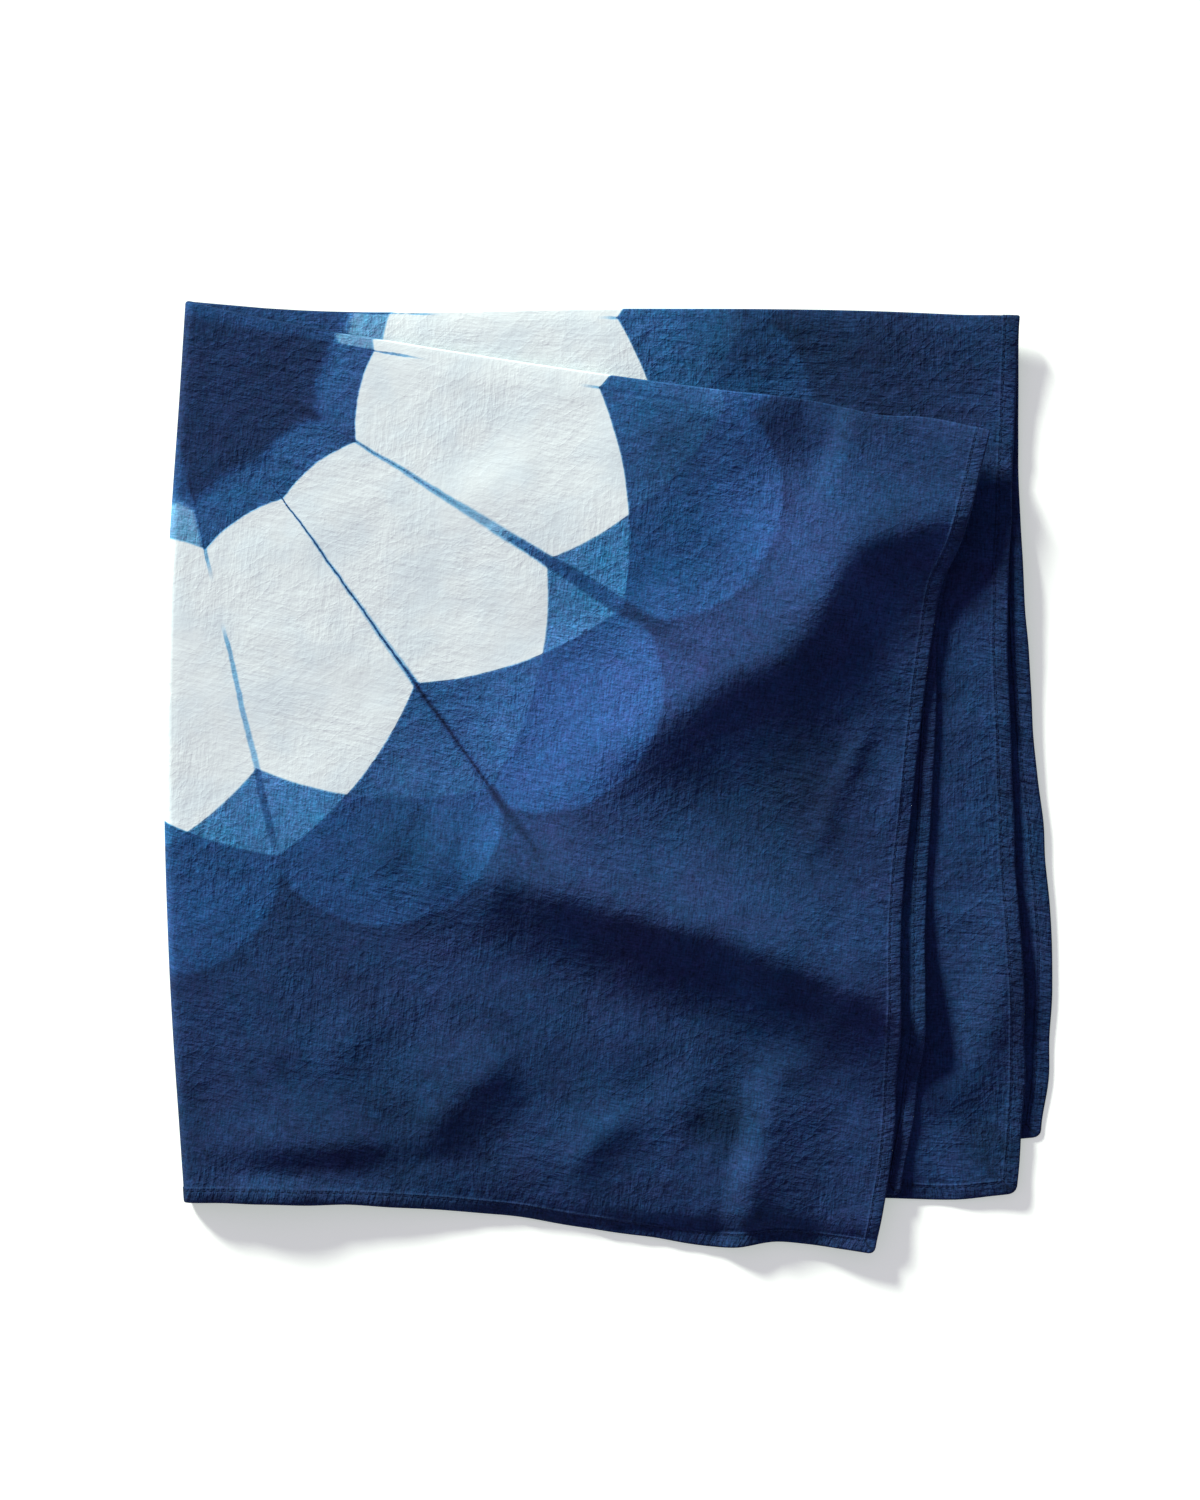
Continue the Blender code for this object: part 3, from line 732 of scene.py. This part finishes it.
class Wiring:
    """Short ways to add nodes to one node tree and join them up."""

    def __init__(self, tree):
        self.tree = tree

    def node(self, kind, **settings):
        made = self.tree.nodes.new(kind)
        for name, value in settings.items():
            setattr(made, name, value)
        return made

    def feed(self, socket, value):
        """Give a socket its value: another node's output, or a constant."""
        if isinstance(value, bpy.types.NodeSocket):
            self.tree.links.new(value, socket)
        else:
            socket.default_value = value

    def maths(self, operation, *values, clamp=False):
        made = self.node("ShaderNodeMath", operation=operation, use_clamp=clamp)
        for socket, value in zip(made.inputs, values):
            self.feed(socket, value)
        return made.outputs[0]

    def plus(self, first, *others):
        for other in others:
            first = self.maths("ADD", first, other)
        return first

    def times(self, first, *others):
        for other in others:
            first = self.maths("MULTIPLY", first, other)
        return first

    def minus(self, value, less):
        return self.maths("SUBTRACT", value, less)

    def times_plus(self, value, factor, added):
        return self.maths("MULTIPLY_ADD", value, factor, added)

    def step(self, value, low, high):
        """Smooth step from 0 where the value is low to 1 where it is high."""
        made = self.node("ShaderNodeMapRange", interpolation_type="SMOOTHSTEP")
        for socket, number in zip(made.inputs, (value, low, high, 0.0, 1.0)):
            self.feed(socket, number)
        return made.outputs["Result"]

    def spread(self, value, low, high):
        """The value from 0 to 1 spread from low to high."""
        return self.times_plus(value, high - low, low)

    def length(self, x, y):
        return self.maths("SQRT", self.plus(self.times(x, x), self.times(y, y)))

    def scaled(self, place, factors):
        made = self.node("ShaderNodeVectorMath", operation="MULTIPLY")
        self.feed(made.inputs[0], place)
        self.feed(made.inputs[1], factors)
        return made.outputs[0]

    def parts(self, place):
        """The x and the y of a place."""
        made = self.node("ShaderNodeSeparateXYZ")
        self.feed(made.inputs[0], place)
        return made.outputs["X"], made.outputs["Y"]

    def noise(self, place, name, middle=0.0):
        """A row of the noise table at a place: the noise less the middle value, times the row's strength."""
        row = NOISES[name]
        if row.turn:
            turned = self.node("ShaderNodeVectorRotate", rotation_type="Z_AXIS")
            self.feed(turned.inputs["Vector"], place)
            turned.inputs["Angle"].default_value = math.radians(row.turn)
            place = turned.outputs[0]
        made = self.node("ShaderNodeTexNoise", noise_dimensions="3D")
        self.feed(made.inputs["Vector"], self.scaled(place, (row.across, row.down, 1.0)))
        made.inputs["Scale"].default_value = 1.0
        made.inputs["Detail"].default_value = row.detail
        made.inputs["Roughness"].default_value = row.roughness
        return self.times_plus(made.outputs["Fac"], row.strength, -middle * row.strength)

    def ramp(self, value, stops):
        """The colour for a value, between stops given as (value from 0 to 1, colour)."""
        made = self.node("ShaderNodeValToRGB")
        elements = made.color_ramp.elements
        while len(elements) < len(stops):
            elements.new(0.5)
        for element, (at, colour) in zip(elements, stops):
            element.position = at
            element.color = (*colour, 1.0)
        self.feed(made.inputs[0], value)
        return made.outputs["Color"]

    def bump(self, shader, height):
        """Bump on a shader, from a height in millimetres."""
        made = self.node("ShaderNodeBump")
        made.inputs["Strength"].default_value = 1.0
        made.inputs["Distance"].default_value = MILLIMETRE
        self.feed(made.inputs["Height"], height)
        self.feed(shader.inputs["Normal"], made.outputs["Normal"])


def new_group(name, inputs, outputs):
    """An empty shader node group, and its wiring, its inputs and its outputs.

    Each input has a default value, or None for a vector. The outputs are values.
    """
    tree = bpy.data.node_groups.new(name, "ShaderNodeTree")
    for label, value in inputs.items():
        kind = "NodeSocketVector" if value is None else "NodeSocketFloat"
        socket = tree.interface.new_socket(name=label, in_out="INPUT", socket_type=kind)
        if value is not None:
            socket.default_value = value
    for label in outputs:
        tree.interface.new_socket(name=label, in_out="OUTPUT", socket_type="NodeSocketFloat")
    wiring = Wiring(tree)
    return tree, wiring, wiring.node("NodeGroupInput").outputs, wiring.node("NodeGroupOutput").inputs


def outside(wiring, dip, x, y, wobble):
    """1 outside a dip's circle and 0 inside it, over a soft edge that wanders by the wobble."""
    distance = wiring.length(wiring.minus(x, dip.x), wiring.minus(y, dip.y))
    past = wiring.times_plus(wobble, dip.wander, wiring.minus(distance, dip.radius))
    return wiring.step(past, -dip.soft, dip.soft)


def crease_dye(wiring, crease, across, down, distance, wobble):
    """Dye along one crease line: even over its width, which grows outwards, and faded at both ends."""
    angle = math.radians(crease.angle)
    side = wiring.minus(wiring.times(across, math.sin(angle)), wiring.times(down, math.cos(angle)))
    off = wiring.maths("ABSOLUTE", wiring.times_plus(wobble, CREASE_WANDER, side))
    width = wiring.times_plus(distance, crease.growth / GROWTH_RUN, crease.width)
    share = wiring.maths("DIVIDE", off, wiring.maths("MAXIMUM", width, CREASE_LEAST))
    beside = wiring.step(share, *CREASE_SIDE)
    starts = wiring.step(distance, crease.start, crease.start + crease.fade_in)
    ends = wiring.step(distance, crease.end, crease.end - crease.fade_out)
    return wiring.times(beside, starts, ends, crease.dye)


def rosette_group():
    """Node group: the depth of dye at each place on the open cloth, in millimetres from the dyed centre.

    The cloth was folded into a wedge of an eighth of a half turn, so the angle round the centre is folded
    back and forth by that much. Each dip of the wedge dyed what lay outside one circle. The depths add up.
    """
    tree, wiring, given, result = new_group("rosette_dye", {"Cloth Place": None}, ["Depth"])
    place = given["Cloth Place"]
    signed = wiring.parts(place)
    across, down = [wiring.maths("ABSOLUTE", part) for part in signed]
    distance = wiring.length(across, down)
    angle = wiring.maths("ARCTAN2", down, across)
    folded = wiring.maths("PINGPONG", angle, WEDGE)
    x, y = [wiring.times(distance, wiring.maths(wave, folded)) for wave in ("COSINE", "SINE")]
    wobble = wiring.plus(wiring.noise(place, "fine edge", 0.5), wiring.noise(place, "broad edge", 0.5))
    past_a, past_b, past_scallop, past_ring, past_heart = [
        outside(wiring, dip, x, y, wobble) for dip in (DIP_A, DIP_B, SCALLOP_DIP, INNER_DIP, HEART_DIP)]

    depth = wiring.times(past_a, past_b, past_scallop, SCALLOP_DIP.dye)
    depth = wiring.times_plus(past_a, DIP_A.dye, depth)
    depth = wiring.times_plus(past_b, DIP_B.dye, depth)
    for crease in CREASES:
        depth = wiring.plus(depth, crease_dye(wiring, crease, across, down, distance, wobble))

    pale = wiring.step(angle, *[math.radians(end) for end in LAST_WEDGE])
    pale = wiring.maths("MAXIMUM", pale, wiring.step(wiring.times(*signed), *UNDER_FOLD))
    pale = wiring.maths("MAXIMUM", pale, wiring.step(signed[0], *BACK_PAIR))
    ring = wiring.times(past_ring, INNER_DIP.dye, wiring.spread(pale, 1.0, PALE_RING_SHARE))
    inner = wiring.times_plus(past_heart, HEART_DIP.dye, ring)
    near = wiring.step(distance, *HEART_END)
    wiring.feed(result["Depth"], wiring.times_plus(inner, near, depth))
    return tree


def tone_and_painted_light_group():
    """Node group: how much lighter and how much more violet the dyed cloth is at a place than on the whole.

    The tone is random noise of two sizes plus the soft patches of painted light and shade from the table. The
    tinge is other noise of two sizes plus a share of the patches, so that the painted shade is more teal.
    """
    tree, wiring, given, result = new_group("uneven_tone_and_painted_light", {"Cloth Place": None}, ["ToneAndPaintedLight", "Tinge"])
    place = given["Cloth Place"]
    painted_light_and_shade = 0.0
    # Each patch of painted light or painted shade adds its share, fading out over its reach.
    for tone in PAINTED_LIGHT_AND_SHADE:
        gap = wiring.node("ShaderNodeVectorMath", operation="DISTANCE")
        wiring.feed(gap.inputs[0], place)
        wiring.feed(gap.inputs[1], (tone.across, tone.down, 0.0))
        near = wiring.step(gap.outputs["Value"], tone.reach, 0.0)
        painted_light_and_shade = wiring.times_plus(near, tone.lighter, painted_light_and_shade)
    mottle = wiring.plus(wiring.noise(place, "broad tone", 0.5), wiring.noise(place, "small tone", 0.5))
    tinge = wiring.plus(wiring.noise(place, "slow tinge", 0.5), wiring.noise(place, "small tinge", 0.5))
    wiring.feed(result["ToneAndPaintedLight"], wiring.plus(mottle, painted_light_and_shade))
    wiring.feed(result["Tinge"], wiring.times_plus(painted_light_and_shade, PAINTED_LIGHT_TINGE, tinge))
    return tree


def weave_group():
    """Node group: plain weave, as a height in millimetres and a lighter or darker shade for each thread.

    The height is the product of two waves a thread apart, and noise drawn out along each set of threads
    makes them uneven. The same noise gives the shade, about an even 0.5, and the threads' tinge, about 0.
    """
    tree, wiring, given, result = new_group(
        "plain_weave", {"Cloth Place": None, "Thread Gap": THREAD_GAP}, ["Height", "Shade", "Tinge"])
    place = given["Cloth Place"]
    turns = wiring.maths("DIVIDE", math.pi, given["Thread Gap"])
    over = wiring.times(*[wiring.maths("SINE", wiring.times(part, turns)) for part in wiring.parts(place)])
    kinds = [wiring.noise(place, name) for name in ("slubs across", "slubs down", "thread specks")]
    slubs = wiring.plus(*kinds)
    wiring.feed(result["Height"], wiring.times_plus(over, WEAVE_HEIGHT, wiring.times(slubs, SLUB_HEIGHT)))
    wiring.feed(result["Shade"], wiring.maths("DIVIDE", slubs, float(len(kinds))))
    wiring.feed(result["Tinge"], wiring.minus(kinds[0], kinds[1]))
    return tree


def crinkle_group():
    """Node group: fine washed crinkle as a height in millimetres.

    Creases lie where drawn-out noise is near its middle, and finer streaks follow such noise itself. One set
    of each lies along the bottom hem and one stands on it, and slow noise sets where each of them shows. A
    third set of creases lies aslant, and even noise dents the whole. The back pair is more crinkled.
    """
    tree, wiring, given, result = new_group("washed_crinkle", {"Cloth Place": None}, ["Height"])
    place = given["Cloth Place"]

    def creases(name):
        return wiring.maths("SQRT", wiring.maths("ABSOLUTE", wiring.noise(place, name, 0.5)))

    lying = wiring.plus(wiring.noise(place, "lying streaks"), creases("lying creases"))
    standing = wiring.plus(wiring.noise(place, "standing streaks"), creases("standing creases"))
    which = wiring.step(wiring.noise(place, "which set"), *SETS_CHANGE)
    lines = wiring.plus(
        wiring.times(lying, wiring.spread(which, *LYING_SHOWS)),
        wiring.times(standing, wiring.spread(which, *STANDING_SHOWS)),
        creases("slanted creases"))
    dents = wiring.plus(wiring.noise(place, "broad dents"), wiring.noise(place, "small dents"))
    back_pair = wiring.step(wiring.parts(place)[0], *BACK_FROM)
    more = wiring.step(wiring.noise(place, "how crinkled"), *CRINKLE_FROM)
    height = wiring.times(wiring.minus(dents, lines), CRINKLE_HEIGHT)
    wiring.feed(result["Height"], wiring.times(
        height, wiring.spread(back_pair, *BACK_SHOWS), wiring.spread(more, *CRINKLE_SHOWS)))
    return tree


def hem_group():
    """Node group: the pucker of a sewn hem, as a height in millimetres, and how far a place is in the hem.

    The hem's place gives the distance in from the edge and the run along it. Noise that is short along the
    hem and long across it makes the puckers, which fade out inwards, and a groove runs along the stitches.
    """
    tree, wiring, given, result = new_group("hem_pucker", {"Hem Place": None}, ["Height", "In Hem"])
    inset, run = wiring.parts(given["Hem Place"])
    slanted = wiring.node("ShaderNodeCombineXYZ")
    wiring.feed(slanted.inputs["X"], inset)
    wiring.feed(slanted.inputs["Y"], wiring.times_plus(inset, PUCKER_SLANT, run))
    in_hem = wiring.step(inset, HEM_WIDTH + HEM_EDGE, HEM_WIDTH - HEM_EDGE)
    beyond = wiring.times(wiring.step(inset, PUCKER_REACH, HEM_WIDTH), PUCKER_BEYOND)
    pucker = wiring.times(
        wiring.noise(slanted.outputs["Vector"], "hem pucker"), wiring.maths("MAXIMUM", in_hem, beyond))
    groove = wiring.step(wiring.maths("ABSOLUTE", wiring.minus(inset, STITCH_INSET)), *GROOVE)
    wiring.feed(result["Height"], wiring.times_plus(groove, -GROOVE_DEPTH, pucker))
    wiring.feed(result["In Hem"], in_hem)
    return tree


def place_group(wiring, tree, **inputs):
    """The outputs of a node group that is put into a material and fed with the given values."""
    made = wiring.node("ShaderNodeGroup", node_tree=tree)
    for label, value in inputs.items():
        wiring.feed(made.inputs[label.replace("_", " ")], value)
    return made.outputs


def matt_material(name, roughness):
    """A material with a matt shader, its wiring and the shader."""
    material = bpy.data.materials.new(name)
    material.use_nodes = True
    shader = material.node_tree.nodes["Principled BSDF"]
    shader.inputs["Roughness"].default_value = roughness
    shader.inputs["Specular IOR Level"].default_value = SPECULAR
    return material, Wiring(material.node_tree), shader


def dyed_cotton(rosette, tone, weave, washed, hem):
    """The cloth: the rosette's dye over a slubby plain weave, with crinkle, weave and hem pucker as bump.

    The undyed cloth was pressed flat while the rest was dipped, so its bump and its threads show less.
    """
    material, wiring, shader = matt_material("dyed_cotton", MATT_ROUGHNESS)
    in_millimetres = (1 / MILLIMETRE, 1 / MILLIMETRE, 0.0)
    place, by_hem = [wiring.scaled(wiring.node("ShaderNodeUVMap", uv_map=name).outputs["UV"], in_millimetres)
                     for name in ("cloth_place", "hem_place")]
    dye = place_group(wiring, rosette, Cloth_Place=place)["Depth"]
    threads = place_group(wiring, weave, Cloth_Place=place, Thread_Gap=THREAD_GAP)
    folds = place_group(wiring, washed, Cloth_Place=place)
    uneven_tone_and_painted_light = place_group(wiring, tone, Cloth_Place=place)
    sewn = place_group(wiring, hem, Hem_Place=by_hem)
    dyed = wiring.step(dye, *DYED_FROM)

    marks = wiring.step(wiring.noise(place, "petal marks"), *MARKS_FROM)
    depth = wiring.times(dye, wiring.plus(wiring.noise(place, "dye mottle", 0.5), 1.0))
    depth = wiring.times_plus(sewn["In Hem"], HEM_DARKER, depth)
    depth = wiring.times_plus(marks, PETAL_MARKS, depth)
    colour = wiring.ramp(wiring.maths("DIVIDE", depth, DEEPEST, clamp=True),
                         [(amount / DEEPEST, colour) for amount, colour in DYE_COLOURS])

    contrast = wiring.times(wiring.minus(threads["Shade"], 0.5), wiring.spread(dyed, *THREAD_CONTRAST))
    # Painted light and shade: the tone's patches make the dyed cloth lighter or darker, on top of its random
    # mottle.
    lighter = wiring.times(uneven_tone_and_painted_light["ToneAndPaintedLight"], wiring.spread(dyed, *TONE_AND_PAINTED_LIGHT_SHOWS))
    shade = wiring.times(wiring.plus(contrast, 1.0), wiring.plus(lighter, 1.0))
    hue = wiring.times(wiring.plus(uneven_tone_and_painted_light["Tinge"], threads["Tinge"]), dyed)
    tint = wiring.node("ShaderNodeCombineColor")
    wiring.feed(tint.inputs[0], wiring.times(shade, wiring.plus(hue, 1.0)))
    wiring.feed(tint.inputs[1], wiring.times(shade, wiring.times_plus(hue, GREEN_SHARE, 1.0)))
    wiring.feed(tint.inputs[2], shade)
    tinted = wiring.node("ShaderNodeMix", data_type="RGBA", blend_type="MULTIPLY")
    tinted.inputs["Factor"].default_value = 1.0
    wiring.feed(tinted.inputs[6], colour)
    wiring.feed(tinted.inputs[7], tint.outputs[0])
    wiring.feed(shader.inputs["Base Color"], tinted.outputs[2])

    rough = wiring.times(wiring.plus(folds["Height"], threads["Height"]), wiring.spread(dyed, *BUMP_SHOWS))
    wiring.bump(shader, wiring.plus(rough, sewn["Height"]))
    return material


def dyed_thread(weave):
    """The sewing thread: dark indigo with the weave group's unevenness as its fuzz."""
    material, wiring, shader = matt_material("dyed_thread", THREAD_ROUGHNESS)
    place = wiring.scaled(wiring.node("ShaderNodeTexCoord").outputs["Object"], (1 / MILLIMETRE,) * 3)
    fuzz = place_group(wiring, weave, Cloth_Place=place, Thread_Gap=FUZZ_GAP)
    colour = wiring.ramp(fuzz["Shade"], [(0.0, DARK_THREAD), (1.0, PALE_THREAD)])
    wiring.feed(shader.inputs["Base Color"], colour)
    wiring.bump(shader, fuzz["Height"])
    return material


def make_bandana():
    """The folded cloth and its stitches."""
    weave = weave_group()
    middle, cloth_place, hem_place = middle_surface()
    inset = hem_place[0]
    rows, columns = inset.shape
    right_side, wrong_side = two_sides(middle, inset)
    points = np.concatenate((right_side.reshape(-1, 3), wrong_side.reshape(-1, 3)))
    maps = [(name, np.tile(np.stack(places, axis=-1).reshape(-1, 2), (2, 1)))
            for name, places in (("cloth_place", cloth_place), ("hem_place", hem_place))]
    material = dyed_cotton(rosette_group(), tone_and_painted_light_group(), weave, crinkle_group(), hem_group())
    cloth = add_piece("folded_cloth", points, sheet_faces(rows, columns), material, maps)
    line = len(HEM_LINES) - 1 - HEM_LINES.index(STITCH_INSET)
    lines = (line, columns - 1 - line), (line, rows - 1 - line)
    normals = unit_normals(middle)
    found = [stitch_rows(side, out, *lines) for side, out in ((right_side, normals), (wrong_side, -normals))]
    centre, ahead, outward = [np.concatenate([side[k] for side in found]) for k in range(3)]
    stitches = add_piece("hem_stitches", *thread_stitches(centre, ahead, outward), dyed_thread(weave))
    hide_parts("bandana_cloth")


def pale_floor():
    """A plain pale floor with a little glow, which keeps the shadows on it light."""
    material, _, shader = matt_material("pale_floor", MATT_ROUGHNESS)
    shader.inputs["Base Color"].default_value = (*FLOOR_COLOUR, 1.0)
    shader.inputs["Emission Color"].default_value = (*FLOOR_GLOW_COLOUR, 1.0)
    shader.inputs["Emission Strength"].default_value = FLOOR_GLOW
    corners = [(x * FLOOR_HALF, y * FLOOR_HALF, 0) for x, y in ((-1, -1), (1, -1), (1, 1), (-1, 1))]
    mesh = bpy.data.meshes.new("pale_floor")
    mesh.from_pydata(corners, [], [(0, 1, 2, 3)])
    mesh.materials.append(material)
    floor = new_object("pale_floor", mesh)


def soft_light():
    """One soft key light from the upper left, an even dim fill, and a pale backdrop behind it all."""
    key = bpy.data.lights.new("key", "SUN")
    key.energy = KEY_STRENGTH
    key.color = KEY_COLOUR
    key.angle = math.radians(KEY_SOFTNESS)
    lamp = new_object("key", key)
    height = math.radians(KEY_HEIGHT)
    way = Vector((*KEY_WAY, 0.0)).normalized() * math.cos(height) - Vector((0, 0, math.sin(height)))
    lamp.rotation_euler = way.to_track_quat("-Z", "Y").to_euler()
    room = bpy.data.worlds.new("room")
    room.use_nodes = True
    wiring = Wiring(room.node_tree)
    fill = room.node_tree.nodes["Background"]
    fill.inputs["Color"].default_value = (*ROOM_COLOUR, 1.0)
    fill.inputs["Strength"].default_value = ROOM_STRENGTH
    seen = wiring.node("ShaderNodeBackground")
    seen.inputs["Color"].default_value = (*BACKDROP, 1.0)
    either = wiring.node("ShaderNodeMixShader")
    wiring.feed(either.inputs[0], wiring.node("ShaderNodeLightPath").outputs["Is Camera Ray"])
    wiring.feed(either.inputs[1], fill.outputs[0])
    wiring.feed(either.inputs[2], seen.outputs[0])
    wiring.feed(room.node_tree.nodes["World Output"].inputs["Surface"], either.outputs[0])
    bpy.context.scene.world = room


def photo_camera():
    """A camera straight above the cloth, framed as the photograph is."""
    camera = bpy.data.cameras.new("camera")
    camera.lens = CAMERA_LENS
    camera.sensor_width = CAMERA_FILM
    camera.sensor_fit = "AUTO"
    holder = new_object("camera", camera)
    holder.location = CAMERA_PLACE
    bpy.context.scene.camera = holder
    bpy.context.scene.view_settings.view_transform = "Standard"


make_bandana()
pale_floor()
soft_light()
photo_camera()
